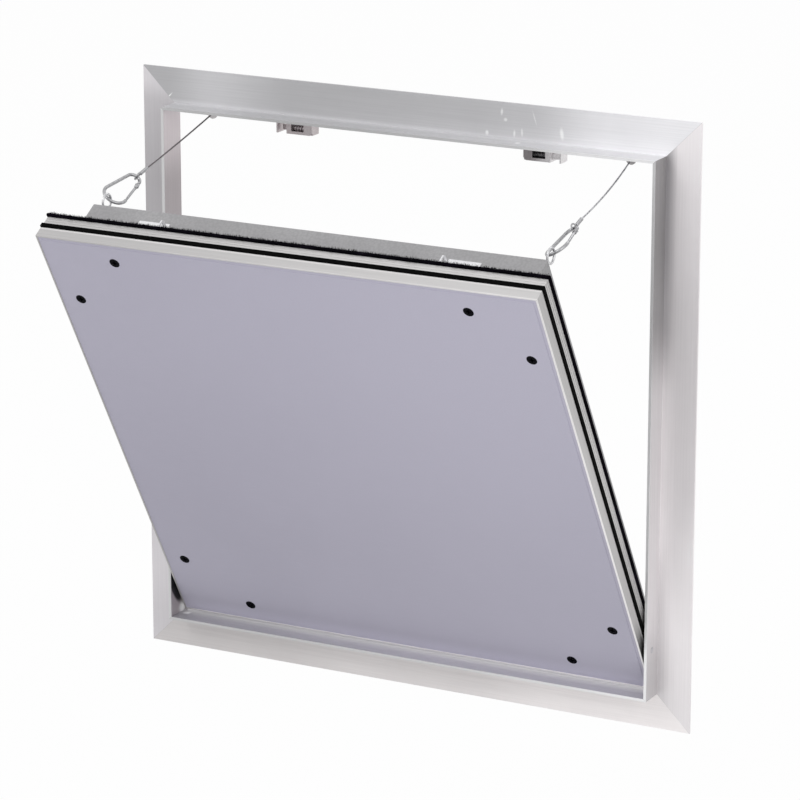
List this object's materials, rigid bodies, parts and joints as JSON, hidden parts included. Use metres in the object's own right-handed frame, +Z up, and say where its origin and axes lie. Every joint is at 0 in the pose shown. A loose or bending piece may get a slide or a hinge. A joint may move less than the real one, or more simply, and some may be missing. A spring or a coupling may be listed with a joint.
{
  "type": "acoustic drywall access panel",
  "caption": "Square acoustic access panel for drywall: a flanged aluminium frame and a sealed plasterboard door, held open on safety cables.",
  "frame": {"origin": "centre of the clear opening, in the plane of the flange's front face, which lies against the back of the wall board", "axes": "+Z up along the opening, -Y out into the room, +X to the right for someone facing the panel; +Y runs into the cavity"},
  "size_m": [0.457, 0.2388, 0.457],
  "materials": {
    "frame_aluminium": "mill finish, fine lengthwise streaks",
    "door_aluminium": "mill finish",
    "board_face": "matt paper face",
    "board_core": "matt paper face",
    "bedding": "matt sealant",
    "wool": "mineral wool",
    "tray_sheet": "matt, fine grain",
    "black_screw": "black phosphate",
    "seal_rubber": "satin black",
    "seal_pile": "black pile",
    "bush_plastic": "matt",
    "steel_fixings": "zinc plated",
    "zinc_sheet": "zinc plated",
    "white_zinc": "bright zinc",
    "spring_steel": "wire",
    "hook_steel": "zinc plated wire",
    "cable_steel": "stranded"
  },
  "bodies": {
    "frame": {"frame_top": "frame_aluminium", "frame_bottom": "frame_aluminium", "frame_left": "frame_aluminium", "frame_right": "frame_aluminium", "frame_corner_plates": "frame_aluminium", "corner_plate_screws": "steel_fixings", "catch_screws": "steel_fixings", "anchor_rivets": "steel_fixings", "hinge_pin_left": "steel_fixings", "hinge_pin_right": "steel_fixings", "catch_housing_left": "zinc_sheet", "catch_housing_right": "zinc_sheet", "catch_spring_left": "spring_steel", "catch_spring_right": "spring_steel", "cable_anchor_left": "zinc_sheet", "cable_anchor_right": "zinc_sheet", "safety_cable_left": "cable_steel", "safety_cable_right": "cable_steel", "cable_stops": "cable_steel"},
    "door": {"door_profile_top": "door_aluminium", "door_profile_bottom": "door_aluminium", "door_profile_left": "door_aluminium", "door_profile_right": "door_aluminium", "door_corner_blocks": "door_aluminium", "front_board": "board_face", "board_bedding": "bedding", "board_screws": "black_screw", "core_board": "board_core", "mineral_wool": "wool", "back_tray": "tray_sheet", "tray_screws": "steel_fixings", "front_seal": "seal_rubber", "rear_pile_seal": "seal_pile", "hinge_bush_left": "bush_plastic", "hinge_bush_right": "bush_plastic", "striker_left": "white_zinc", "striker_right": "white_zinc", "striker_screws": "steel_fixings", "eye_bolt_left": "steel_fixings", "eye_bolt_right": "steel_fixings"},
    "catch_bolt_left": {"catch_bolt_left": "zinc_sheet"},
    "hook_left": {"snap_hook_left": "hook_steel", "gate_pin_left": "steel_fixings", "cable_loop_left": "cable_steel", "cable_ferrule_left": "cable_steel"},
    "gate_left": {"hook_gate_left": "hook_steel"},
    "catch_bolt_right": {"catch_bolt_right": "zinc_sheet"},
    "hook_right": {"snap_hook_right": "hook_steel", "gate_pin_right": "steel_fixings", "cable_loop_right": "cable_steel", "cable_ferrule_right": "cable_steel"},
    "gate_right": {"hook_gate_right": "hook_steel"}
  },
  "joints": [
    {"name": "door_hinge", "type": "hinge", "parent": "frame", "child": "door", "pos_m": [0, -0.0105, -0.1645], "axis": [1, 0, 0], "range_deg": [-30.5, 0], "deforming": ["safety_cable_left", "safety_cable_right"]},
    {"name": "catch_bolt_left", "type": "slide", "parent": "frame", "child": "catch_bolt_left", "axis": [1, 0, 0], "range_m": [0, 0.0048], "stiffness_N_per_m": 200, "springref_m": -0.004, "deforming": ["catch_spring_left"]},
    {"name": "hook_roll_left", "type": "hinge", "parent": "door", "child": "hook_left", "pos_m": [-0.1775, -0.13835, 0.15677], "axis": [0.0369, 0.965, 0.2597], "range_deg": [-71, 5]},
    {"name": "hook_gate_left", "type": "hinge", "parent": "hook_left", "child": "gate_left", "pos_m": [-0.17167, -0.10581, 0.16242], "axis": [-0.5443, 0.2373, -0.8046], "range_deg": [0, 20], "stiffness_Nm_per_rad": 0.02, "springref_deg": -20.05},
    {"name": "catch_bolt_right", "type": "slide", "parent": "frame", "child": "catch_bolt_right", "axis": [-1, 0, 0], "range_m": [0, 0.0048], "stiffness_N_per_m": 200, "springref_m": -0.004, "deforming": ["catch_spring_right"]},
    {"name": "hook_roll_right", "type": "hinge", "parent": "door", "child": "hook_right", "pos_m": [0.1775, -0.13835, 0.15677], "axis": [-0.0369, 0.965, 0.2597], "range_deg": [-10, 66]},
    {"name": "hook_gate_right", "type": "hinge", "parent": "hook_right", "child": "gate_right", "pos_m": [0.18114, -0.10692, 0.1679], "axis": [0.4692, 0.2461, -0.8481], "range_deg": [0, 20], "stiffness_Nm_per_rad": 0.02, "springref_deg": -20.05}
  ]
}
